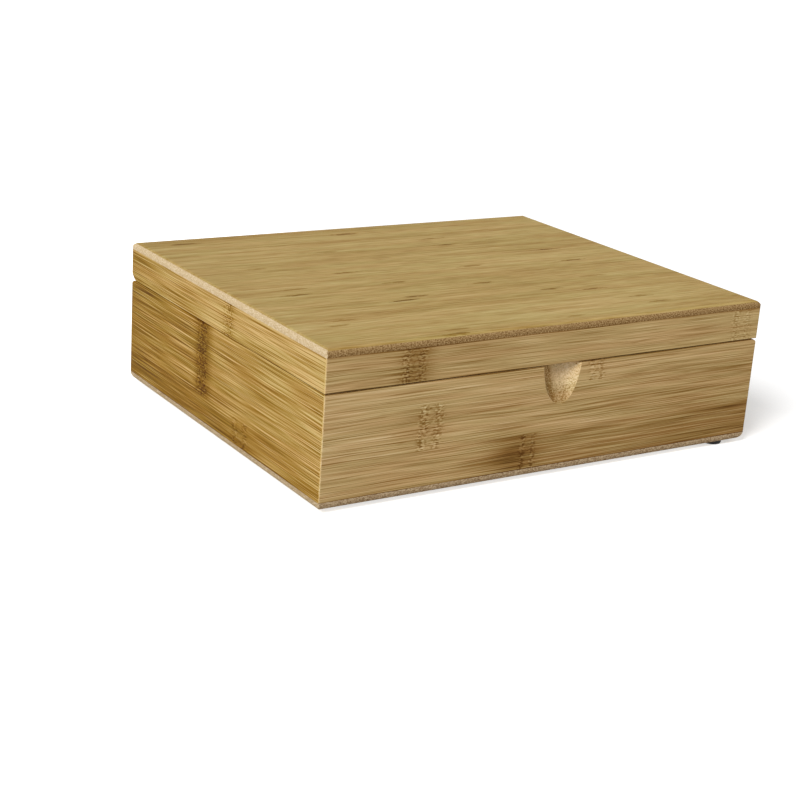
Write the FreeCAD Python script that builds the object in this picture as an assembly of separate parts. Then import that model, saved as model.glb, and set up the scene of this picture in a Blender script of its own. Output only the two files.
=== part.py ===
"""Bamboo tea box: a mitred box with a hinged lid, interlocking dividers and four rubber feet.

Frame: millimetres, +Z up, +X to the right along the front, +Y from the front to the back.
The origin is on the surface that the feet stand on, under the middle of the box.

The base is four mitred walls on a panel, and the lid is four mitred rails under a panel.
Two butt hinges lie across the joint at the back. Both bodies are rounded there, so the lid
swings up past upright and then stops, edge on edge.
"""

import FreeCAD
import Part
import math
import os

Vector = FreeCAD.Vector
X_AXIS = Vector(1, 0, 0)
Y_AXIS = Vector(0, 1, 0)
Z_AXIS = Vector(0, 0, 1)

# Whole box
box_length = 292.1
box_depth = 233.9
box_height = 87.9
wall_thickness = 10.0
panel_thickness = 4.3
lid_height = 22.8
joint_gap = 0.5

# Rounded and eased edges
panel_round = 3.0
lid_far_round = 4.5
base_far_round = 6.5
upright_ease = 0.9
lid_rim_ease = 0.3
lid_back_round = 7.0
base_rim_ease = 0.6
base_right_ease = 3.5
base_back_round = 4.5

# Finger notch, scooped out of the top of the front wall
notch_width = 26.0
notch_height = 23.0
notch_depth = 6.5
notch_sweep = 80.0
notch_offset = 3.0

# Dividers
compartment_columns = 4
compartment_rows = 3
divider_thickness = 5.0
divider_below_rim = 8.3
divider_ease = 0.8
housing_depth = 2.5
divider_clearance = 0.1

# Feet, the front right one stuck on further forward than the others
foot_diameter = 12.0
foot_height = 2.5
foot_from_edge = 13.5
foot_from_side = 17.0
forward_foot_from_edge = 9.0
foot_ease = 0.4

# Hinges
hinge_from_end = 51.0
hinge_length = 30.0
hinge_inset = 3.0
knuckle_count = 5
knuckle_diameter = 4.0
knuckle_gap = 0.3
knuckle_relief = 0.35
pin_diameter = 1.8
pin_end = 0.4
pin_running_clearance = 0.05
pin_fixed_clearance = 0.01
leaf_thickness = 0.9
leaf_from_inside = 0.7
leaf_corner = 0.6
mortise_clearance = 0.1

# Hinge screws
screw_diameter = 1.7
screw_head_diameter = 3.2
screw_length = 8.0
screw_point = 1.6
screw_spacing = 18.0
screw_clearance = 0.02
driver_slot_length = 2.0
driver_slot_width = 0.4
driver_slot_depth = 0.4

# Planes and places that follow from the sizes above
left, right = -box_length / 2, box_length / 2
front, back = -box_depth / 2, box_depth / 2
inner_left, inner_right = left + wall_thickness, right - wall_thickness
inner_front, inner_back = front + wall_thickness, back - wall_thickness
floor = foot_height + panel_thickness
lid_bottom = box_height - lid_height
base_top = lid_bottom - joint_gap
lid_ceiling = box_height - panel_thickness
divider_top = base_top - divider_below_rim
divider_middle = (floor + divider_top) / 2
hinge_y = back - hinge_inset
hinge_z = (lid_bottom + base_top) / 2
leaf_edge = inner_back + leaf_from_inside
leaf_window = hinge_y - knuckle_diameter / 2 - knuckle_relief
screw_y = (leaf_edge + leaf_window) / 2

# How far a cutting shape runs past the surface that it cuts
overcut = 1.0


def save(name, *solids):
    """Writes one sub-part, made of one or more solids."""
    shape = solids[0] if len(solids) == 1 else Part.makeCompound(list(solids))
    shape.exportStep(f"parts/{name}.step")


def block(x_range, y_range, z_range):
    """A box between two values on each axis."""
    low, high = (Vector(*corner) for corner in zip(x_range, y_range, z_range))
    size = high - low
    return Part.makeBox(size.x, size.y, size.z, low)


def rod(radius, start, axis, length):
    """A round bar from a point, along an axis."""
    return Part.makeCylinder(radius, length, start, axis)


def fused(solids):
    """One solid made of several that touch or overlap."""
    whole = solids[0]
    for solid in solids[1:]:
        whole = whole.fuse(solid)
    return whole.removeSplitter()


def cut_by(shape, cutters):
    """A shape less each of the cutters."""
    for cutter in cutters:
        shape = shape.cut(cutter)
    return shape


def rounded_bar(u_range, v_range, radii, place, travel):
    """A rectangle with a radius of its own at each corner, or 0, extruded into a bar.

    The radii go round from the corner of the two low values, along u first. The place
    function turns (u, v) into a point, and travel is how far the rectangle is extruded.
    """
    (u_low, u_high), (v_low, v_high) = u_range, v_range
    corners = [(u_low, v_low, 1, 1), (u_high, v_low, -1, 1)]
    corners += [(u_high, v_high, -1, -1), (u_low, v_high, 1, -1)]
    edges, bends = [], []
    for turn, ((u, v, inward_u, inward_v), radius) in enumerate(zip(corners, radii)):
        bend = []
        for degrees in (180 + 90 * turn, 225 + 90 * turn, 270 + 90 * turn):
            across, along = math.cos(math.radians(degrees)), math.sin(math.radians(degrees))
            bend.append(place(u + radius * (inward_u + across), v + radius * (inward_v + along)))
        if radius:
            edges.append(Part.Arc(*bend).toShape())
        bends.append(bend)
    for bend, following in zip(bends, bends[1:] + bends[:1]):
        edges.append(Part.makeLine(bend[-1], following[0]))
    return Part.Face(Part.Wire(Part.__sortEdges__(edges))).extrude(travel)


# The two bodies as whole outer shapes, which their boards are then taken from


def outer_form(z_range, side_radii, front_radii):
    """A box with eased upright corners, and the given radii as seen from the side and the front."""
    low, high = z_range
    plan = rounded_bar(
        (left, right),
        (front, back),
        [upright_ease] * 4,
        lambda x, y: Vector(x, y, low),
        Z_AXIS * (high - low),
    )
    from_side = rounded_bar(
        (front, back), z_range, side_radii, lambda y, z: Vector(left, y, z), X_AXIS * box_length
    )
    from_front = rounded_bar(
        (left, right), z_range, front_radii, lambda x, z: Vector(x, front, z), Y_AXIS * box_depth
    )
    return plan.common(from_side).common(from_front)


def base_form():
    """The base: round underneath, most along the back and right, and round along the back of its rim."""
    return outer_form(
        (foot_height, base_top),
        [panel_round, base_far_round, base_back_round, base_rim_ease],
        [panel_round, base_far_round, base_right_ease, base_rim_ease],
    )


def lid_form():
    """The lid: round on top, most along the back and right, and round along the back of its rim."""
    return outer_form(
        (lid_bottom, box_height),
        [lid_rim_ease, lid_back_round, lid_far_round, panel_round],
        [lid_rim_ease, lid_rim_ease, lid_far_round, panel_round],
    )


def layer(form, z_range):
    """The part of a form between two heights."""
    return form.common(block((left, right), (front, back), z_range))


def mitred_board(form, z_range, outer_ends, inner_ends):
    """One side of a frame: the form over a plan outline whose two ends are mitred."""
    plan = [Vector(x, y, z_range[0]) for x, y in (*outer_ends, *reversed(inner_ends))]
    outline = Part.Face(Part.makePolygon([*plan, plan[0]]))
    return form.common(outline.extrude(Z_AXIS * (z_range[1] - z_range[0])))


def mitred_frame(form, z_range):
    """The four boards of a frame, by the side that each is on."""
    outer = [(left, front), (right, front), (right, back), (left, back)]
    inner = [
        (inner_left, inner_front),
        (inner_right, inner_front),
        (inner_right, inner_back),
        (inner_left, inner_back),
    ]
    sides = {}
    for index, side in enumerate(("front", "right", "back", "left")):
        after = (index + 1) % 4
        outer_ends = (outer[index], outer[after])
        inner_ends = (inner[index], inner[after])
        sides[side] = mitred_board(form, z_range, outer_ends, inner_ends)
    return sides


# Finger notch


def notch_cutter():
    """A ring whose outer side scoops the notch, deepest at the rim and running out below."""
    bar_radius = ((notch_width / 2) ** 2 + notch_depth**2) / (2 * notch_depth)
    rim = Vector(notch_offset, front + notch_depth, base_top)
    run_out = Vector(notch_offset, front, base_top - notch_height)
    chord = rim - run_out
    rise = math.sqrt(notch_sweep**2 - (chord.Length / 2) ** 2)
    middle = (rim + run_out) / 2 + X_AXIS.cross(chord).normalize() * rise
    return Part.makeTorus(notch_sweep - bar_radius, bar_radius, middle, X_AXIS)


# Dividers


def spread(low, high, count):
    """Middles of the dividers that split a space into a number of equal parts."""
    clear = (high - low - (count - 1) * divider_thickness) / count
    step = clear + divider_thickness
    return [low + clear + divider_thickness / 2 + step * index for index in range(count - 1)]


def divider_places():
    """Where the cross dividers stand along X, and the long dividers along Y."""
    columns = spread(inner_left, inner_right, compartment_columns)
    rows = spread(inner_front, inner_back, compartment_rows)
    return columns, rows


def around(middle, width):
    """The two ends of a width about its middle."""
    return middle - width / 2, middle + width / 2


def housing_cutters():
    """The grooves in the walls that hold the ends of the dividers, stopped at their top."""
    columns, rows = divider_places()
    width = divider_thickness + 2 * divider_clearance
    z_range = (floor, divider_top + divider_clearance)
    y_range = (inner_front - housing_depth, inner_back + housing_depth)
    x_range = (inner_left - housing_depth, inner_right + housing_depth)
    grooves = [block(around(x, width), y_range, z_range) for x in columns]
    grooves += [block(x_range, around(y, width), z_range) for y in rows]
    return grooves


def long_divider(y, columns):
    """A divider along X, slotted from above where the cross dividers pass."""
    end = housing_depth - divider_clearance
    start = inner_left - end
    board = rounded_bar(
        around(y, divider_thickness),
        (floor, divider_top),
        [0, 0, divider_ease, divider_ease],
        lambda v, z: Vector(start, v, z),
        X_AXIS * (inner_right - inner_left + 2 * end),
    )
    slot_width = divider_thickness + 2 * divider_clearance
    slot_y = around(y, divider_thickness + 2 * overcut)
    slot_z = (divider_middle, divider_top + overcut)
    return cut_by(board, [block(around(x, slot_width), slot_y, slot_z) for x in columns])


def cross_divider(x, rows):
    """A divider along Y, slotted from below where the long dividers pass."""
    end = housing_depth - divider_clearance
    start = inner_front - end
    board = rounded_bar(
        around(x, divider_thickness),
        (floor, divider_top),
        [0, 0, divider_ease, divider_ease],
        lambda u, z: Vector(u, start, z),
        Y_AXIS * (inner_back - inner_front + 2 * end),
    )
    slot_width = divider_thickness + 2 * divider_clearance
    slot_x = around(x, divider_thickness + 2 * overcut)
    slot_z = (floor - overcut, divider_middle + divider_clearance)
    return cut_by(board, [block(slot_x, around(y, slot_width), slot_z) for y in rows])


# Feet


def foot(x, y):
    """A rubber disc with a rounded lower edge."""
    disc = rod(foot_diameter / 2, Vector(x, y, 0), Z_AXIS, foot_height)
    lower_edge = [edge for edge in disc.Edges if edge.BoundBox.ZMax < foot_height / 2]
    return disc.makeFillet(foot_ease, lower_edge)


# Hinges


def knuckle_span(middle_x, index, margin=0.0):
    """The two ends of one knuckle along the pin, with a margin at each."""
    length = (hinge_length - (knuckle_count - 1) * knuckle_gap) / knuckle_count
    start = middle_x - hinge_length / 2 + index * (length + knuckle_gap)
    return start - margin, start + length + margin


def along_pin(x_range, radius):
    """A round bar on the hinge's axis."""
    start = Vector(x_range[0], hinge_y, hinge_z)
    return rod(radius, start, X_AXIS, x_range[1] - x_range[0])


def leaf_plate(middle_x, z_range, own_knuckles):
    """A leaf's flat plate, cut away at the knuckles of the other leaf."""
    plate = rounded_bar(
        around(middle_x, hinge_length),
        (leaf_edge, hinge_y),
        [leaf_corner, leaf_corner, 0, 0],
        lambda x, y: Vector(x, y, z_range[0]),
        Z_AXIS * (z_range[1] - z_range[0]),
    )
    others = [index for index in range(knuckle_count) if index not in own_knuckles]
    clear_y = (leaf_window, hinge_y + overcut)
    clear_z = (z_range[0] - overcut, z_range[1] + overcut)
    windows = [
        block(knuckle_span(middle_x, index, knuckle_gap), clear_y, clear_z) for index in others
    ]
    return cut_by(plate, windows)


def leaf(middle_x, surface_z, into, own_knuckles, pin_clearance):
    """A hinge leaf: plate and knuckles in one, bored for the pin and countersunk for screws.

    Into is +1 for the leaf that lies in the lid and -1 for the one in the base.
    """
    z_range = sorted((surface_z, surface_z + into * leaf_thickness))
    plate = leaf_plate(middle_x, z_range, own_knuckles)
    knuckles = [
        along_pin(knuckle_span(middle_x, index), knuckle_diameter / 2) for index in own_knuckles
    ]
    bore = along_pin(around(middle_x, hinge_length + 2 * overcut), pin_diameter / 2 + pin_clearance)
    holes = [
        screw_body(x, surface_z, into, screw_clearance) for x in around(middle_x, screw_spacing)
    ]
    return cut_by(fused([plate, *knuckles]), [bore, *holes])


def hinge_pin(middle_x):
    """The pin, standing a little out of the knuckles, with rounded ends."""
    pin = along_pin(around(middle_x, hinge_length + 2 * pin_end), pin_diameter / 2)
    rims = [edge for edge in pin.Edges if edge.BoundBox.XLength < pin_end]
    return pin.makeFillet(pin_end * 0.75, rims)


def screw_body(x, surface_z, into, clearance):
    """A countersunk screw from its flat head to its point, grown by a clearance for its hole."""
    shank = screw_diameter / 2 + clearance
    head = screw_head_diameter / 2 + clearance
    head_depth = (screw_head_diameter - screw_diameter) / 2
    axis = Z_AXIS * into
    surface = Vector(x, screw_y, surface_z)
    head_cone = Part.makeCone(head, shank, head_depth, surface, axis)
    straight = screw_length - screw_point - head_depth
    shaft = rod(shank, surface + axis * head_depth, axis, straight)
    tip = Part.makeCone(
        shank, shank / 4, screw_point + clearance, surface + axis * (head_depth + straight), axis
    )
    return fused([head_cone, shaft, tip])


def screw(x, surface_z, into):
    """One hinge screw, with a cross slot for the driver."""
    slot_z = sorted((surface_z - into * overcut, surface_z + into * driver_slot_depth))
    slot_x = block(around(x, driver_slot_length), around(screw_y, driver_slot_width), slot_z)
    slot_y = block(around(x, driver_slot_width), around(screw_y, driver_slot_length), slot_z)
    return cut_by(screw_body(x, surface_z, into, 0), [slot_x, slot_y])


def hinge_cutters(middle_x, surface_z, into):
    """What a hinge takes out of a back board: mortise, room for the knuckles, and screw holes."""
    mortise = block(
        around(middle_x, hinge_length + 2 * mortise_clearance),
        (leaf_edge - mortise_clearance, back + overcut),
        sorted((surface_z - into * overcut, surface_z + into * leaf_thickness)),
    )
    room = along_pin(
        around(middle_x, hinge_length + 2 * (pin_end + mortise_clearance)),
        knuckle_diameter / 2 + knuckle_relief,
    )
    holes = [
        screw_body(x, surface_z, into, screw_clearance) for x in around(middle_x, screw_spacing)
    ]
    return [mortise, room, *holes]


def hinge_middles():
    """Where the two hinges are along X, by their side."""
    return {"left": left + hinge_from_end, "right": right - hinge_from_end}


# Assembly


def make_base():
    """Walls, bottom panel, dividers and feet."""
    form = base_form()
    walls = mitred_frame(form, (floor, base_top))
    walls["front"] = walls["front"].cut(notch_cutter())
    for middle_x in hinge_middles().values():
        walls["back"] = cut_by(walls["back"], hinge_cutters(middle_x, base_top, -1))
    housings = housing_cutters()
    for side, wall in walls.items():
        save(f"base_{side}_wall", cut_by(wall, housings))
    save("bottom_panel", layer(form, (foot_height, floor)))

    columns, rows = divider_places()
    for number, y in enumerate(rows, start=1):
        save(f"long_divider_{number}", long_divider(y, columns))
    for number, x in enumerate(columns, start=1):
        save(f"cross_divider_{number}", cross_divider(x, rows))

    foot_left, foot_right = left + foot_from_side, right - foot_from_side
    save("foot_front_left", foot(foot_left, front + foot_from_edge))
    save("foot_front_right", foot(foot_right, front + forward_foot_from_edge))
    save("foot_back_left", foot(foot_left, back - foot_from_edge))
    save("foot_back_right", foot(foot_right, back - foot_from_edge))


def make_lid():
    """Rails and top panel."""
    form = lid_form()
    rails = mitred_frame(form, (lid_bottom, lid_ceiling))
    for middle_x in hinge_middles().values():
        rails["back"] = cut_by(rails["back"], hinge_cutters(middle_x, lid_bottom, 1))
    for side, rail in rails.items():
        save(f"lid_{side}_rail", rail)
    save("top_panel", layer(form, (lid_ceiling, box_height)))


def make_hinges():
    """Two hinges: a leaf in the base, a leaf in the lid, the pin and the screws of each leaf."""
    outer_knuckles = range(0, knuckle_count, 2)
    inner_knuckles = range(1, knuckle_count, 2)
    for side, middle_x in hinge_middles().items():
        lower = leaf(middle_x, base_top, -1, outer_knuckles, pin_fixed_clearance)
        upper = leaf(middle_x, lid_bottom, 1, inner_knuckles, pin_running_clearance)
        save(f"hinge_{side}_lower_leaf", lower)
        save(f"hinge_{side}_upper_leaf", upper)
        save(f"hinge_{side}_pin", hinge_pin(middle_x))
        places = around(middle_x, screw_spacing)
        save(f"hinge_{side}_lower_screws", *[screw(x, base_top, -1) for x in places])
        save(f"hinge_{side}_upper_screws", *[screw(x, lid_bottom, 1) for x in places])


def main():
    os.makedirs("parts", exist_ok=True)
    make_base()
    make_lid()
    make_hinges()


main()
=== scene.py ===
"""Looks for the bamboo tea bag box: its materials, and the light, floor and camera round its CAD model."""

import math
from dataclasses import dataclass

import bpy
from mathutils import Matrix, Vector


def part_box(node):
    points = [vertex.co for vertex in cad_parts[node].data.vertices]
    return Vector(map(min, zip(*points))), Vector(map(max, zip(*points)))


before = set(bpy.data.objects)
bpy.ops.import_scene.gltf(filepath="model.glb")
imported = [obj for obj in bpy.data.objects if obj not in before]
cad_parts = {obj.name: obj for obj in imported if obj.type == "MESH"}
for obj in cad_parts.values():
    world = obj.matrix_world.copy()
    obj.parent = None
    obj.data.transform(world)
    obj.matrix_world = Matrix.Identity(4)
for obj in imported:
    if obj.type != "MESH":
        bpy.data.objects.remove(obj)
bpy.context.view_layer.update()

MM = 0.001
WHITE = (1.0, 1.0, 1.0, 1.0)


# ---------------------------------------------------------------- places, in millimetres

def lowest(node):
    """The corner of a node's box where X, Y and Z are lowest."""
    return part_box(node)[0] / MM


def highest(node):
    """The opposite corner."""
    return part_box(node)[1] / MM


FRONT = lowest("base_front_wall").y
FLOOR_TOP = highest("bottom_panel").z
BASE_TOP = highest("base_front_wall").z
LID_BOTTOM = lowest("lid_front_rail").z
CEILING = lowest("top_panel").z
TOP = highest("top_panel").z
# Half the length of a board along X, and of one along Y.
HALF_RUN = {"x": highest("base_front_wall").x, "y": highest("base_right_wall").y}

# The notch in the front wall, from the middle of the box along X, and from the front inwards.
NOTCH_MIDDLE = 3.0
NOTCH_HALF_WIDTH = 13.0
NOTCH_DEPTH = 6.5


# ---------------------------------------------------------------- shader arithmetic

# Noise and chance both run from 0 to 1, about this value.
MIDDLE = 0.5
# A noise is moved by its seed times these shares, along X, Y and Z, so that no two are alike.
SEED_SHIFT = (1.0, 0.7, 1.3)


def linear(colour):
    """An sRGB colour, 0 to 255 a channel, as the linear numbers that shaders use."""
    shares = [channel / 255 for channel in colour]
    return tuple(c / 12.92 if c <= 0.04045 else ((c + 0.055) / 1.055) ** 2.4 for c in shares) + (1.0,)


@dataclass
class Layer:
    """Noise: the sizes of its blobs along, through and up a board, in millimetres, and its weight in a sum.

    detail is how many finer layers it has, and roughness how strong they are."""
    length: float
    through: float
    up: float
    weight: float = 1.0
    detail: float = 1.0
    roughness: float = 0.5


class Field:
    """A number that varies over a surface. It adds, subtracts, multiplies and divides like a number."""

    def __init__(self, graph, socket):
        self.graph, self.socket = graph, socket

    def __add__(self, other):
        return self.graph.math("ADD", self, other)

    def __sub__(self, other):
        return self.graph.math("SUBTRACT", self, other)

    def __rsub__(self, other):
        return self.graph.math("SUBTRACT", other, self)

    def __mul__(self, other):
        return self.graph.math("MULTIPLY", self, other)

    def __truediv__(self, other):
        return self.graph.math("DIVIDE", self, other)

    def __abs__(self):
        return self.graph.math("ABSOLUTE", self)

    __radd__, __rmul__ = __add__, __mul__

    def top(self, other):
        """The larger of the two."""
        return self.graph.math("MAXIMUM", self, other)

    def whole(self):
        """The whole number below it."""
        return self.graph.math("FLOOR", self)

    def ease(self, start, end):
        """0 before start and 1 past end, with a soft turn between; start may be the larger."""
        return self.graph.ease(self, start, end)

    def near(self, middle, reach):
        """1 at middle, falling softly to 0 at reach from it."""
        return abs(self - middle).ease(reach, 0.0)

    def between(self, low, high, soft):
        """1 from low to high and 0 outside, with soft edges."""
        return self.ease(low - soft, low + soft) * self.ease(high + soft, high - soft)


class Graph:
    """One material's nodes. Lengths are in millimetres, in the object's own axes.

    x, y and z are the place, normal_x, normal_y and normal_z are where the surface faces, and facing_x,
    facing_y and facing_z are the same without their signs. along is the axis that the fibres follow."""

    def __init__(self, name, along="x"):
        self.along = along
        self.material = bpy.data.materials.new(name)
        self.material.use_nodes = True
        self.tree = self.material.node_tree
        self.tree.nodes.clear()
        self.shader = self.add("ShaderNodeBsdfPrincipled")
        output = self.add("ShaderNodeOutputMaterial")
        self.put(output.inputs["Surface"], self.shader.outputs[0])
        where = self.add("ShaderNodeTexCoord")
        scaled = self.add("ShaderNodeVectorMath", operation="SCALE")
        self.put(scaled.inputs[0], where.outputs["Object"])
        self.put(scaled.inputs["Scale"], 1 / MM)
        self.place = scaled.outputs[0]
        self.x, self.y, self.z = self.parts(self.place)
        self.normal_x, self.normal_y, self.normal_z = self.parts(where.outputs["Normal"])
        self.facing_x, self.facing_y, self.facing_z = map(abs, (self.normal_x, self.normal_y, self.normal_z))

    def add(self, kind, **settings):
        node = self.tree.nodes.new(kind)
        for name, value in settings.items():
            setattr(node, name, value)
        return node

    def put(self, socket, value):
        """Links a field or a socket into a socket, or writes a plain value on it."""
        if isinstance(value, Field):
            value = value.socket
        if isinstance(value, bpy.types.NodeSocket):
            self.tree.links.new(value, socket)
        else:
            socket.default_value = value

    def math(self, operation, *values):
        node = self.add("ShaderNodeMath", operation=operation)
        for socket, value in zip(node.inputs, values):
            self.put(socket, value)
        return Field(self, node.outputs[0])

    def ease(self, value, start, end):
        node = self.add("ShaderNodeMapRange", interpolation_type="SMOOTHSTEP")
        for name, given in (("Value", value), ("From Min", start), ("From Max", end)):
            self.put(node.inputs[name], given)
        return Field(self, node.outputs["Result"])

    def parts(self, vector):
        """A vector's X, Y and Z."""
        node = self.add("ShaderNodeSeparateXYZ")
        self.put(node.inputs[0], vector)
        return [Field(self, output) for output in node.outputs]

    def joined(self, x, y, z):
        """The vector of X, Y and Z."""
        node = self.add("ShaderNodeCombineXYZ")
        for socket, value in zip(node.inputs, (x, y, z)):
            self.put(socket, value)
        return node.outputs[0]

    def from_point(self, place, point, sizes):
        """How far place is from a point, measured in sizes along X, Y and Z; a size of 0 doesn't count."""
        scales = [1 / size if size else 0.0 for size in sizes]
        scaled = self.add("ShaderNodeVectorMath", operation="MULTIPLY_ADD")
        self.put(scaled.inputs[0], place)
        self.put(scaled.inputs[1], scales)
        self.put(scaled.inputs[2], [-value * scale for value, scale in zip(point, scales)])
        length = self.add("ShaderNodeVectorMath", operation="LENGTH")
        self.put(length.inputs[0], scaled.outputs[0])
        return Field(self, length.outputs["Value"])

    def noise(self, layer, seed, place=None, stretch=1.0):
        """Cloudy noise from 0 to 1. stretch lengthens its blobs along the board."""
        sizes = [layer.length * stretch, layer.through, layer.up]
        if self.along == "y":
            sizes[0], sizes[1] = sizes[1], sizes[0]
        scaled = self.add("ShaderNodeVectorMath", operation="MULTIPLY_ADD")
        self.put(scaled.inputs[0], place or self.place)
        self.put(scaled.inputs[1], [1 / size for size in sizes])
        self.put(scaled.inputs[2], [seed * share for share in SEED_SHIFT])
        node = self.add("ShaderNodeTexNoise", noise_dimensions="3D")
        for name, value in (("Vector", scaled.outputs[0]), ("Scale", 1.0), ("Detail", layer.detail),
                            ("Roughness", layer.roughness)):
            self.put(node.inputs[name], value)
        return Field(self, node.outputs[0])

    def weighed(self, layer, seed, place=None, stretch=1.0):
        """Noise about 0, times its layer's weight."""
        return (self.noise(layer, seed, place, stretch) - MIDDLE) * layer.weight

    def chance(self, number):
        """A value from 0 to 1 that is random from one whole number to the next."""
        node = self.add("ShaderNodeTexWhiteNoise", noise_dimensions="1D")
        self.put(node.inputs["W"], number)
        return Field(self, node.outputs["Value"])

    def ramp(self, value, stops):
        """A colour for each value from 0 to 1, from (value, sRGB colour) stops."""
        node = self.add("ShaderNodeValToRGB")
        elements = node.color_ramp.elements
        while len(elements) < len(stops):
            elements.new(1.0)
        for element, (position, colour) in zip(elements, stops):
            element.position = position
            element.color = linear(colour)
        self.put(node.inputs[0], value)
        return node.outputs["Color"]

    def mix(self, share, first, second, how="MIX"):
        """first where share is 0, and second where it is 1."""
        node = self.add("ShaderNodeMix", data_type="RGBA", blend_type=how)
        shown = {socket.name: socket for socket in node.inputs if socket.enabled}
        for name, value in (("Factor", share), ("A", first), ("B", second)):
            self.put(shown[name], value)
        return next(output for output in node.outputs if output.enabled)

    def finish(self, colour, roughness, relief, relief_depth, specular, metallic=0.0):
        """Feeds the shader, and gives the material. relief_depth is in millimetres."""
        bump = self.add("ShaderNodeBump")
        for name, value in (("Height", relief), ("Strength", 1.0), ("Distance", relief_depth * MM)):
            self.put(bump.inputs[name], value)
        for name, value in (("Base Color", colour), ("Roughness", roughness), ("Metallic", metallic),
                            ("Specular IOR Level", specular), ("Normal", bump.outputs[0])):
            self.put(self.shader.inputs[name], value)
        return self.material


# ---------------------------------------------------------------- bamboo

# Shades of bamboo for tones from 0, a node's dark stain, to 1, the palest fibre: (tone, sRGB colour).
FRONT_SHADES = [(0.0, (92, 58, 22)), (0.25, (138, 103, 54)), (0.38, (152, 119, 72)), (0.5, (171, 141, 97)),
                (0.6, (184, 154, 108)), (0.7, (195, 165, 119)), (1.0, (223, 200, 162))]
SIDE_SHADES = [(0.0, (74, 40, 0)), (0.29, (117, 79, 10)), (0.45, (140, 103, 28)), (0.56, (154, 118, 48)),
               (0.71, (173, 137, 70)), (0.84, (190, 157, 96)), (1.0, (212, 183, 128))]
TOP_SHADES = [(0.0, (106, 72, 18)), (0.3, (148, 115, 54)), (0.6, (179, 151, 95)),
              (0.75, (190, 164, 109)), (1.0, (210, 188, 138))]
MIDDLE_TONE = 0.61

# Faint tints that drift over every piece and multiply its shade: (noise, sRGB colour).
TINTS = [(0.38, (252, 255, 243)), (0.62, (255, 250, 240))]

OILED_ROUGHNESS = 0.55
OILED_SPECULAR = 0.03
HAIRS_ROUGHER = 0.17
GRAIN_RELIEF = 0.05

# How far the grain wanders up and down, in millimetres, and then its tones, from broad to fine.
SWAY = Layer(80, 40, 14, weight=1.6)
CLOUDS = Layer(90, 40, 10, weight=0.23, detail=2.0)
BANDS = Layer(110, 5.0, 3.0, weight=0.09)
LINES = Layer(70, 1.0, 0.5, weight=0.34)
HAIRS = Layer(40, 0.5, 0.36, weight=1.25)
# Thin dark lines, where their noise is this near its middle.
THREADS = Layer(70, 3.0, 1.5, weight=0.09, detail=0.0)
THREAD_REACH = 0.04

# The drift of the tints, how far marks are ragged, in millimetres, and the dots of three kinds.
HUES = Layer(60, 10, 5, detail=2.0)
RAGGED = Layer(60, 12, 1.3, weight=11.0, detail=2.0, roughness=0.7)
FLECKS = Layer(1.9, 1.6, 0.75)
END_DOTS = Layer(3.0, 0.7, 0.7, weight=1.1)
PORES = Layer(1.0, 0.9, 0.7, weight=0.8)

# Where in their noise the dark and the pale flecks start, and where they are whole.
DARK_FLECKS = (0.48, 0.6)
PALE_FLECKS = (0.46, 0.38)

END_PALER = 0.2
JOINT_DARKER = 0.5

# A turn says how much of a surface's normal lies along an axis where something starts, and where it is whole;
# 1 is all of it. A board's cut end faces along its run, and joints darken only what isn't level.
CUT_END_TURN = (0.2, 0.5)
NOT_LEVEL_TURN = (0.98, 0.9)

# How soft the limits of marks and strips are, in millimetres to each side.
MARK_SOFT = 0.4
STRIP_SOFT = 0.15


@dataclass
class Mark:
    """One node of the bamboo across a strip: a brown stain, and two ragged columns of dark and pale flecks.

    place is along the board, and low and high are the heights between which it lies. gap is between the
    columns, width is how far each reaches, and second is the second one's strength. dark, pale and stain are
    how far each goes in tone. The stain lies stain_shift from place, and reaches stain_reach to each side."""
    place: float
    low: float
    high: float
    gap: float = 9.0
    width: float = 5.5
    second: float = 0.8
    dark: float = 0.32
    pale: float = 0.16
    stain: float = 0.12
    stain_shift: float = -2.0
    stain_reach: float = 16.0

    def darker(self, run, height, flecks):
        """How much darker the mark makes the tone; less than 0 is paler."""
        first = run.near(self.place - self.gap / 2, self.width)
        second = run.near(self.place + self.gap / 2, self.width) * self.second
        columns = first.top(second)
        stain = run.near(self.place + self.stain_shift, self.stain_reach) * self.stain
        dark = columns * flecks.ease(*DARK_FLECKS) * self.dark
        pale = columns * flecks.ease(*PALE_FLECKS) * self.pale
        return height.between(self.low, self.high, MARK_SOFT) * (dark + stain - pale)


def tinted(graph, shade, place, seed):
    """The shade, with the drifting tint multiplied in."""
    tint = graph.ramp(graph.noise(HUES, seed, place), TINTS)
    return graph.mix(1.0, shade, tint, "MULTIPLY")


def strip_paler(graph, strips, run):
    """How much paler each strip is. Strips are (bottom, paler at the run's start, paler at its end); the
    drift from start to end is partly the strips' own tone and partly painted light, on the front and left
    walls and the left rail a painted falloff of light away from the left-front.
    """
    share = run / (2 * HALF_RUN[graph.along]) + 0.5
    total, below = 0.0, 0.0
    for bottom, start, end in strips:
        shift = share * (end - start) + start
        total = total + graph.z.ease(bottom - STRIP_SOFT, bottom + STRIP_SOFT) * (shift - below)
        below = shift
    return total


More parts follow.
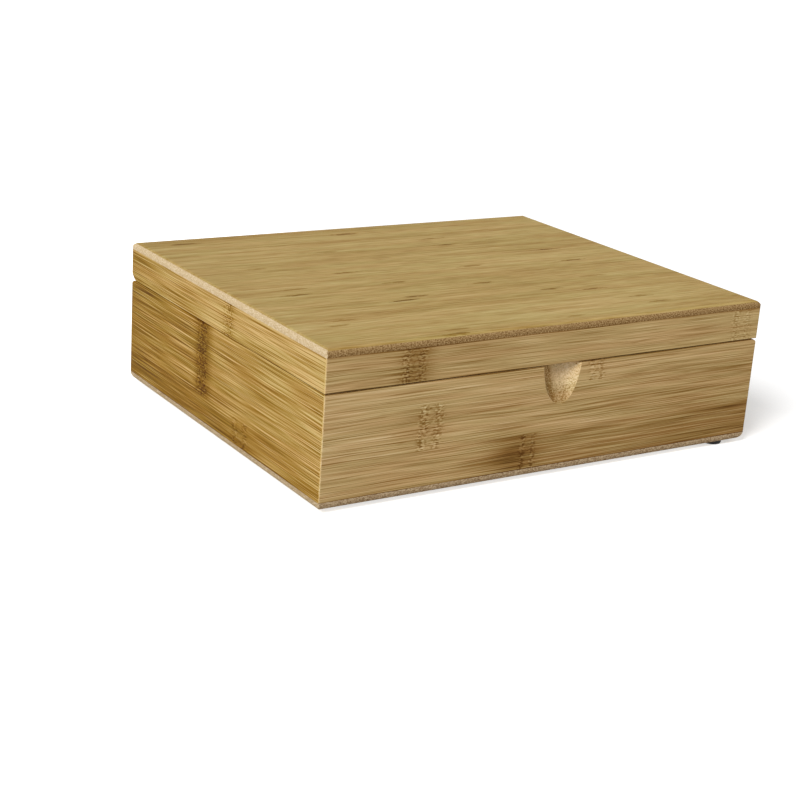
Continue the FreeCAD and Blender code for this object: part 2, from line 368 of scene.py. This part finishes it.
class Scoop:
    """The notch's surface, where the bamboo is cut afresh: paler, and dotted with pores. Its right side,
    facing the light, has painted light, and its left side and its bottom have painted shade.
    """
    RAW_SHADE = (226, 203, 165)
    SMOOTHER = 0.7
    # In millimetres: how far behind the front it starts, the depths between which the raw shade comes in, and
    # how soft its limits are.
    START = 0.3
    RAW_DEPTHS = (1.0, 5.0)
    SOFT = 0.2
    # Turns: what isn't level belongs to it, its left side faces +X, and its right side faces -X.
    NOT_LEVEL_TURN = (0.97, 0.9)
    LEFT_TURN = (0.0, 0.45)
    RIGHT_TURN = (0.1, -0.5)
    # Painted shade: how much darker the left side, which faces away from the light, and the bottom are in
    # tone, and their turns for it.
    DARK_LEFT, DARK_LEFT_TURN = 0.4, (0.1, 0.5)
    DARK_BOTTOM, DARK_BOTTOM_TURN = 0.15, (0.15, 0.45)
    # How much the raw shade and the pores show, and how much more on the right side, as painted light where
    # it faces the light, and less on the left side, as painted shade where it faces away.
    RAW, RAW_MORE_RIGHT, RAW_LESS_LEFT = 0.34, 0.24, 0.38
    DOTS, DOTS_MORE_RIGHT = 0.5, 1.4

    def __init__(self, graph, seed):
        left, right = NOTCH_MIDDLE - NOTCH_HALF_WIDTH, NOTCH_MIDDLE + NOTCH_HALF_WIDTH
        behind = graph.y - FRONT
        across = graph.x.between(left, right, self.SOFT)
        inward = behind.between(self.START, NOTCH_DEPTH + self.START, self.SOFT)
        self.here = inward * across * graph.facing_z.ease(*self.NOT_LEVEL_TURN)
        self.deep = behind.ease(*self.RAW_DEPTHS)
        self.pores = graph.weighed(PORES, seed)
        # Masks for painted shade on the left side, which faces away from the light, and painted light on the
        # right side, which faces it.
        self.left_side = graph.normal_x.ease(*self.LEFT_TURN)
        self.right_side = graph.normal_x.ease(*self.RIGHT_TURN)
        # Painted shade on the notch's left side, which faces away from the light, and on its bottom.
        dark_left = graph.normal_x.ease(*self.DARK_LEFT_TURN) * self.DARK_LEFT
        self.shaded = dark_left + graph.normal_z.ease(*self.DARK_BOTTOM_TURN) * self.DARK_BOTTOM

    def paler(self):
        """How much paler the cut's pores make the tone, less the painted shade on the left side and the
        bottom; less than 0 is darker.
        """
        return self.here * (self.pores - self.shaded)

    def over(self, graph, colour):
        """The colour, with the raw shade over it inside the cut: more of it on the right side as painted
        light, and less on the left as painted shade.
        """
        share = self.right_side * self.RAW_MORE_RIGHT - self.left_side * self.RAW_LESS_LEFT + self.RAW
        dotted = self.pores * (self.right_side * self.DOTS_MORE_RIGHT + self.DOTS)
        return graph.mix((self.deep * share + dotted) * self.here, colour, linear(self.RAW_SHADE))


def board(name, along, shades, seed, strips, marks, contrast=1.0, stretch=1.0, joints=(), notched=False):
    """A board of bamboo strips pressed together flat, whose fibres run along "x" or "y".

    strips are as in strip_paler. contrast is how strong the grain is, and stretch how much longer the fibres
    are. joints are (height, how far the dark reaches) where the board meets another piece."""
    graph = Graph(name, along)
    run = graph.x if along == "x" else graph.y
    cut_end = (graph.facing_x if along == "x" else graph.facing_y).ease(*CUT_END_TURN)
    lengthways = 1 - cut_end
    swayed = graph.joined(graph.x, graph.y, graph.z + graph.weighed(SWAY, seed + 1))
    bands = graph.weighed(BANDS, seed + 2, swayed)
    lines = graph.weighed(LINES, seed + 3, swayed, stretch)
    hairs = graph.weighed(HAIRS, seed + 4, swayed, stretch)
    threads = graph.noise(THREADS, seed + 8, swayed, stretch).near(MIDDLE, THREAD_REACH) * THREADS.weight
    flecks = graph.noise(FLECKS, seed + 7)
    tone = MIDDLE_TONE + graph.weighed(CLOUDS, seed + 5) + strip_paler(graph, strips, run)
    if notched:
        scoop = Scoop(graph, seed + 12)
        lengthways = lengthways - scoop.here * Scoop.SMOOTHER
        tone = tone + scoop.paler()
    tone = tone + (bands + lines + hairs - threads) * lengthways * contrast
    ragged_run = run + graph.weighed(RAGGED, seed + 6)
    for mark in marks:
        tone = tone - mark.darker(ragged_run, graph.z, flecks)
    tone = tone + cut_end * (graph.weighed(END_DOTS, seed + 9) + END_PALER)
    for height, reach in joints:
        tone = tone - graph.z.near(height, reach) * graph.facing_z.ease(*NOT_LEVEL_TURN) * JOINT_DARKER
    colour = tinted(graph, graph.ramp(tone, shades), swayed, seed + 10)
    if notched:
        colour = scoop.over(graph, colour)
    roughness = hairs * HAIRS_ROUGHER + OILED_ROUGHNESS
    return graph.finish(colour, roughness, lines + hairs, GRAIN_RELIEF, OILED_SPECULAR)


# ---------------------------------------------------------------- panels

# (x, y, strength) of the short dark marks, dashes, on the lid's top and on the bottom panel.
TOP_DASHES = [
    (-119, 102, 1.0), (-9, 98, 1.5), (39, 72, 1.0), (39, 55, 1.0), (-46, 60, 0.9), (-106, 35, 0.9),
    (96, 26, 1.2), (-59, 13, 1.2), (23, 4, 0.9), (95, -2, 1.6), (-105, -11, 0.8), (-111, -22, 1.3),
    (-43, -15, 1.0), (7, -31, 1.0), (82, -38, 0.8), (-47, -44, 1.2), (-59, -50, 1.6), (39, -55, 1.3),
    (63, -63, 1.2), (-111, -73, 1.0), (-118, -81, 0.9), (82, -85, 1.2), (87, -98, 0.7),
    (-64, -108, 0.7), (17, -107, 0.7), (-66, -114, 0.9)]
FLOOR_DASHES = [(-60, 40, 1.0), (70, -20, 1.2)]
# How far a dash reaches along X and Y; Z doesn't count. It is whole within this share of that.
DASH_SIZES = (10.0, 1.6, 0.0)
DASH_WHOLE = 0.5
DASH_DARKER = 0.34

# Shades of a panel's core, which shows on its edges: (noise, sRGB colour), for the front and back edges, and
# for the left and right.
TOP_CORE_SHADES = {
    "front": [(0.32, (92, 62, 26)), (0.5, (134, 103, 62)), (0.68, (176, 145, 100))],
    "side": [(0.26, (188, 162, 122)), (0.5, (207, 183, 144)), (0.74, (226, 208, 176))]}
BOTTOM_CORE_SHADES = {
    "front": [(0.32, (120, 96, 66)), (0.5, (156, 131, 100)), (0.68, (190, 168, 136))],
    "side": [(0.28, (154, 132, 98)), (0.5, (180, 158, 124)), (0.72, (208, 188, 158))]}

STRIP_WIDTH = 5.6
STRIP_CONTRAST = 0.12
PANEL_SWAY = Layer(90, 12, 20, weight=2.0, detail=2.0)
PANEL_CLOUDS = Layer(120, 9, 30, weight=0.5, detail=3.0)
PANEL_LINES = Layer(60, 1.6, 2.0, weight=0.6, detail=2.0)
PANEL_HAIRS = Layer(14, 0.8, 0.6, weight=0.8, detail=2.0)
PANEL_HAIRS_ROUGHER = 0.25
DASH_RAGGED = Layer(5, 0.7, 5, weight=2.6, detail=2.0)

# The core's noise on the front and back, and on the sides, and how much paler the front and back are a
# millimetre higher: painted light, a highlight towards the top of the edge and painted shade towards its
# bottom.
CORE_FRONT = Layer(1.0, 8.0, 0.6, detail=2.0)
CORE_SIDE = Layer(0.8, 1.5, 0.5, detail=2.0)
CORE_PALER_UPWARDS = 0.03
CORE_ROUGHER = 0.2
# The heights between which it shows, and how soft they are. They may lie past the panel's own.
TOP_CORE_HEIGHTS = (CEILING - 3.6, TOP - 0.9)
BOTTOM_CORE_HEIGHTS = (0.0, FLOOR_TOP + 1)
CORE_SOFT = 0.15
# Turns: where the front and back edges leave the level, where the side edges start, and their own shades.
CORE_FRONT_TURN = (0.93, 0.8)
CORE_SIDE_TURN = (0.55, 0.7)
CORE_SHADE_TURN = (0.3, 0.5)


def panel(name, seed, core_heights, core_shades, dashes):
    """A panel of narrow bamboo strips along X. Its core shows on its edges, between the two heights."""
    graph = Graph(name)
    core_low, core_high = core_heights
    swayed = graph.joined(graph.x, graph.y + graph.weighed(PANEL_SWAY, seed + 1), graph.z)
    strip = ((graph.y + HALF_RUN["y"]) / STRIP_WIDTH).whole()
    lines = graph.weighed(PANEL_LINES, seed + 2, swayed)
    hairs = graph.weighed(PANEL_HAIRS, seed + 3, swayed)
    tone = MIDDLE_TONE + (graph.chance(strip + seed) - MIDDLE) * STRIP_CONTRAST
    tone = tone + graph.weighed(PANEL_CLOUDS, seed + 4) + lines + hairs
    ragged = graph.weighed(DASH_RAGGED, seed + 5)
    for x, y, strength in dashes:
        reach = graph.from_point(swayed, (x, y, 0.0), DASH_SIZES) + ragged
        tone = tone - reach.ease(1.0, DASH_WHOLE) * (DASH_DARKER * strength)
    surface = tinted(graph, graph.ramp(tone, TOP_SHADES), swayed, seed + 10)
    from_middle = graph.z - (core_low + core_high) / 2
    # Painted light: the front and back core grows paler upwards, a painted highlight near the top and painted
    # shade near the bottom.
    core_front = graph.noise(CORE_FRONT, seed + 7) + from_middle * CORE_PALER_UPWARDS
    core_side = graph.noise(CORE_SIDE, seed + 8)
    core = graph.mix(graph.facing_x.ease(*CORE_SHADE_TURN), graph.ramp(core_front, core_shades["front"]),
                     graph.ramp(core_side, core_shades["side"]))
    above_low = graph.z.ease(core_low - CORE_SOFT, core_low + CORE_SOFT)
    on_front = graph.facing_z.ease(*CORE_FRONT_TURN) * graph.z.between(core_low, core_high, CORE_SOFT)
    on_edge = on_front.top(graph.facing_x.ease(*CORE_SIDE_TURN) * above_low)
    colour = graph.mix(on_edge, surface, core)
    roughness = hairs * PANEL_HAIRS_ROUGHER + on_edge * CORE_ROUGHER + OILED_ROUGHNESS
    relief = lines + core_front * on_edge
    return graph.finish(colour, roughness, relief, GRAIN_RELIEF, OILED_SPECULAR)


# ---------------------------------------------------------------- hinges and feet

# Shades are (noise, sRGB colour). Of the two noises with a weight, it is their weight in the roughness.
BRASS_SHADES = [(0.3, (176, 138, 70)), (0.7, (214, 178, 104))]
BRASS_WEAR = Layer(6.0, 6.0, 6.0, detail=3.0)
BRASS_RUBBED = Layer(3.0, 0.25, 0.25, weight=0.2, detail=2.0)
BRASS_ROUGHNESS = 0.26

RUBBER_SHADES = [(0.3, (22, 21, 20)), (0.7, (38, 36, 34))]
RUBBER_GRAIN = Layer(0.35, 0.35, 0.35, weight=0.2, detail=2.0)
RUBBER_ROUGHNESS = 0.6


def brass():
    """Brass with a worn tint, rubbed along X."""
    graph = Graph("brass")
    rubbed = graph.noise(BRASS_RUBBED, seed=3)
    colour = graph.ramp(graph.noise(BRASS_WEAR, seed=5), BRASS_SHADES)
    roughness = (rubbed - MIDDLE) * BRASS_RUBBED.weight + BRASS_ROUGHNESS
    return graph.finish(colour, roughness, rubbed, relief_depth=0.01, specular=0.5, metallic=1.0)


def rubber():
    """Matt black rubber with a fine grain."""
    graph = Graph("rubber")
    grain = graph.noise(RUBBER_GRAIN, seed=9)
    colour = graph.ramp(grain, RUBBER_SHADES)
    roughness = (grain - MIDDLE) * RUBBER_GRAIN.weight + RUBBER_ROUGHNESS
    return graph.finish(colour, roughness, grain, relief_depth=0.03, specular=0.25)


# ---------------------------------------------------------------- dressing the nodes

def dress(start, material):
    """Gives the material to every CAD node whose name starts with start."""
    for name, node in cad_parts.items():
        if name.startswith(start):
            node.data.materials.clear()
            node.data.materials.append(material)


# (height, how far the dark reaches) where a board meets another piece.
WALL_JOINTS = [(BASE_TOP, 0.7), (FLOOR_TOP, 0.7)]
SIDE_WALL_JOINTS = [(FLOOR_TOP, 0.7)]
RAIL_JOINTS = [(LID_BOTTOM, 0.5), (CEILING, 0.6)]
# A height past the top of every board, for marks that run up to it.
ABOVE = TOP + 5

FRONT_CONTRAST = 0.92
SIDE_CONTRAST = 1.5
SIDE_STRETCH = 1.3


def dress_base():
    """The base's walls and bottom. The front and left walls follow the photograph."""
    dress("base_front_wall", board(
        "front_wall_bamboo", "x", FRONT_SHADES, seed=11,
        # Painted light: these strips are paler at the left and darker towards the right, a painted falloff of
        # light.
        strips=[(0, 0.02, -0.31), (27, 0.03, -0.12), (52.5, 0.06, -0.03)],
        marks=[Mark(-81, 27, 52, pale=0.22, stain=0.1, stain_shift=-5, stain_reach=22),
               Mark(27, 53, ABOVE, gap=6, width=4.0, second=1.0, dark=0.25, stain=0.03),
               Mark(-16, 5, 27, gap=7, width=3.0, second=1.0, stain=0.22, stain_shift=-9, stain_reach=26)],
        contrast=FRONT_CONTRAST, joints=WALL_JOINTS, notched=True))
    dress("base_back_wall", board(
        "back_wall_bamboo", "x", FRONT_SHADES, seed=61,
        strips=[(0, -0.1, 0.0), (30, 0.02, -0.04)],
        marks=[Mark(58, 30, ABOVE),
               Mark(-72, 0, 30, gap=7, width=2.5, second=1.0, stain=0.16)],
        joints=WALL_JOINTS))
    dress("base_left_wall", board(
        "left_wall_bamboo", "y", SIDE_SHADES, seed=37,
        # Painted light: these strips are paler at the front and darker towards the back, a painted falloff of
        # light.
        strips=[(0, 0.06, -0.22), (22, 0.14, -0.1)],
        marks=[Mark(19, 22, ABOVE, gap=6, second=1.0, stain=0.33, stain_shift=-1, stain_reach=15),
               Mark(-29, 0, 22, gap=12, second=1.0, stain=0.04)],
        contrast=SIDE_CONTRAST, stretch=SIDE_STRETCH, joints=SIDE_WALL_JOINTS))
    dress("base_right_wall", board(
        "right_wall_bamboo", "y", SIDE_SHADES, seed=53,
        strips=[(0, 0.05, -0.05), (36, 0.1, 0.02)],
        marks=[Mark(-46, 36, ABOVE),
               Mark(61, 0, 36, gap=7, second=1.0, stain=0.14)],
        contrast=SIDE_CONTRAST, stretch=SIDE_STRETCH, joints=SIDE_WALL_JOINTS))
    dress("bottom_panel", panel(
        "bottom_panel_bamboo", 83, BOTTOM_CORE_HEIGHTS, BOTTOM_CORE_SHADES, FLOOR_DASHES))


def dress_lid():
    """The lid's rails and top. The front and left rails and the top follow the photograph."""
    dress("lid_front_rail", board(
        "front_rail_bamboo", "x", FRONT_SHADES, seed=23,
        strips=[(0, -0.03, -0.02)],
        marks=[Mark(-94, 0, ABOVE, stain=0.22, stain_shift=1, stain_reach=17),
               Mark(132, 0, ABOVE, dark=0.2, stain=0.04)],
        contrast=FRONT_CONTRAST, joints=RAIL_JOINTS))
    dress("lid_back_rail", board(
        "back_rail_bamboo", "x", FRONT_SHADES, seed=67,
        strips=[(0, -0.02, 0.03)],
        marks=[Mark(-35, 0, ABOVE)],
        joints=RAIL_JOINTS))
    dress("lid_left_rail", board(
        "left_rail_bamboo", "y", SIDE_SHADES, seed=41,
        # Painted light: this strip is paler at the front and darker towards the back, a painted falloff of
        # light.
        strips=[(0, 0.33, 0.02)],
        marks=[Mark(-11, 0, ABOVE, gap=4, stain=0.1, stain_reach=11)],
        contrast=SIDE_CONTRAST, stretch=SIDE_STRETCH))
    dress("lid_right_rail", board(
        "right_rail_bamboo", "y", SIDE_SHADES, seed=59,
        strips=[(0, 0.1, 0.2)],
        marks=[Mark(74, 0, ABOVE)],
        contrast=1.3, stretch=SIDE_STRETCH))
    dress("top_panel", panel(
        "top_panel_bamboo", 71, TOP_CORE_HEIGHTS, TOP_CORE_SHADES, TOP_DASHES))


def dress_dividers():
    """The long and the cross dividers, each kind with one mark up its whole height."""
    whole = dict(low=0, high=BASE_TOP, gap=8, stain=0.08, stain_reach=12)
    plain = [(0, 0.0, 0.0)]
    dress("long_divider", board(
        "long_divider_bamboo", "x", TOP_SHADES, seed=91, strips=plain, marks=[Mark(52, **whole)]))
    dress("cross_divider", board(
        "cross_divider_bamboo", "y", TOP_SHADES, seed=97, strips=plain, marks=[Mark(-38, **whole)]))


# ---------------------------------------------------------------- floor, light and camera

# Half the floor's width, in metres; its shade where it lights the object, and where it is seen.
FLOOR_HALF = 30.0
FLOOR_BOUNCE = 0.8
FLOOR_SEEN = 0.98
# The seen floor's glow: it keeps the floor white, and as painted light it is stronger left of the object's
# right side, where it washes out the object's shadow, and weaker right of it, where the shadow shows; and
# where it turns, in metres.
GLOW_LEFT, GLOW_RIGHT = 0.66, 0.27
GLOW_TURN = (0.11, 0.17)
SKY = 0.47
# How near and how far the camera sees, in metres.
NEAR, FAR = 0.01, 100


def link(tree, *pairs):
    """Links each pair of an output and an input."""
    for output, socket in pairs:
        tree.links.new(output, socket)


def seen_rays(tree):
    """1 for rays straight from the camera, reflected or through glass, and 0 for rays that carry light."""
    rays = tree.nodes.new("ShaderNodeLightPath")
    seen = rays.outputs["Is Camera Ray"]
    for name in ("Is Glossy Ray", "Is Transmission Ray"):
        larger = tree.nodes.new("ShaderNodeMath")
        larger.operation = "MAXIMUM"
        link(tree, (seen, larger.inputs[0]), (rays.outputs[name], larger.inputs[1]))
        seen = larger.outputs[0]
    return seen


def ranged(tree, value, inputs):
    """The value, mapped from one range to another; a range that inputs leaves out is 0 to 1."""
    node = tree.nodes.new("ShaderNodeMapRange")
    link(tree, (value, node.inputs["Value"]))
    for name, number in inputs.items():
        node.inputs[name].default_value = number
    return node.outputs["Result"]


def diffuse(tree, level):
    """A plain grey surface."""
    node = tree.nodes.new("ShaderNodeBsdfDiffuse")
    node.inputs["Color"].default_value = (level, level, level, 1)
    return node.outputs[0]


def floor_material():
    """It bounces light plainly, and where it is seen it is white, with the object's shadow on it; its painted
    glow washes that shadow out left of the object's right side.
    """
    material = bpy.data.materials.new("floor")
    material.use_nodes = True
    tree = material.node_tree
    tree.nodes.clear()
    where = tree.nodes.new("ShaderNodeTexCoord")
    parts = tree.nodes.new("ShaderNodeSeparateXYZ")
    link(tree, (where.outputs["Object"], parts.inputs[0]))
    # Painted light: the seen floor glows more left of the object's right side, washing out the object's
    # shadow there.
    glow = tree.nodes.new("ShaderNodeEmission")
    level = ranged(tree, parts.outputs["X"], {
        "From Min": GLOW_TURN[0], "From Max": GLOW_TURN[1], "To Min": GLOW_LEFT, "To Max": GLOW_RIGHT})
    both = tree.nodes.new("ShaderNodeAddShader")
    link(tree, (level, glow.inputs["Strength"]), (diffuse(tree, FLOOR_SEEN), both.inputs[0]),
         (glow.outputs[0], both.inputs[1]))
    choice = tree.nodes.new("ShaderNodeMixShader")
    output = tree.nodes.new("ShaderNodeOutputMaterial")
    link(tree, (seen_rays(tree), choice.inputs[0]), (diffuse(tree, FLOOR_BOUNCE), choice.inputs[1]),
         (both.outputs[0], choice.inputs[2]), (choice.outputs[0], output.inputs["Surface"]))
    return material


def floor():
    """A wide pale floor at the height of the feet's undersides."""
    mesh = bpy.data.meshes.new("floor")
    corners = [(x * FLOOR_HALF, y * FLOOR_HALF, 0) for x, y in ((-1, -1), (1, -1), (1, 1), (-1, 1))]
    mesh.from_pydata(corners, [], [(0, 1, 2, 3)])
    mesh.materials.append(floor_material())
    plane = bpy.data.objects.new("floor", mesh)
    bpy.context.scene.collection.objects.link(plane)


def sky(strength):
    """Even light from all round, which looks white where it is seen."""
    world = bpy.data.worlds.new("studio")
    bpy.context.scene.world = world
    world.use_nodes = True
    tree = world.node_tree
    tree.nodes.clear()
    shader = tree.nodes.new("ShaderNodeBackground")
    shader.inputs["Color"].default_value = WHITE
    output = tree.nodes.new("ShaderNodeOutputWorld")
    level = ranged(tree, seen_rays(tree), {"To Min": strength, "To Max": 1.0})
    link(tree, (level, shader.inputs["Strength"]), (shader.outputs[0], output.inputs["Surface"]))


def sun(name, towards, elevation, level, angle):
    """A soft distant lamp. towards is where it stands, seen from above; at level 1 a colour is as written.

    elevation is how high it stands and angle is how large it looks, both in degrees."""
    data = bpy.data.lights.new(name, "SUN")
    data.energy = level * math.pi
    data.angle = math.radians(angle)
    lamp = bpy.data.objects.new(name, data)
    bpy.context.scene.collection.objects.link(lamp)
    rise = math.radians(elevation)
    flat = Vector((*towards, 0)).normalized() * math.cos(rise)
    lamp.rotation_mode = "QUATERNION"
    lamp.rotation_quaternion = Vector((flat.x, flat.y, math.sin(rise))).to_track_quat("Z", "Y")


def camera(place, azimuth, elevation, roll, focal):
    """A camera at place, in millimetres, with its angles in degrees. focal is in widths of the picture."""
    swing, rise, lean = (math.radians(angle) for angle in (azimuth, elevation, roll))
    flat = Vector((math.sin(swing), -math.cos(swing), 0)) * math.cos(rise)
    back = Vector((flat.x, flat.y, math.sin(rise)))
    right = (-back).cross(Vector((0, 0, 1))).normalized()
    down = (-back).cross(right)
    turned_right = right * math.cos(lean) + down * math.sin(lean)
    turned_up = right * math.sin(lean) - down * math.cos(lean)
    data = bpy.data.cameras.new("camera")
    data.lens = data.sensor_width * focal
    data.clip_start, data.clip_end = NEAR, FAR
    eye = bpy.data.objects.new("camera", data)
    bpy.context.scene.collection.objects.link(eye)
    turn = Matrix((turned_right, turned_up, back)).transposed().to_4x4()
    eye.matrix_world = Matrix.Translation(Vector(place) * MM) @ turn
    bpy.context.scene.camera = eye


dress_base()
dress_lid()
dress_dividers()
dress("hinge", brass())
dress("foot", rubber())
floor()
sky(SKY)
sun("key", towards=(-0.88, -0.47), elevation=39, level=0.68, angle=22)
camera(place=(-546.6, -786.1, 325.1), azimuth=-33.65, elevation=18.46, roll=-4.13, focal=2.08)
bpy.context.scene.view_settings.view_transform = "Standard"
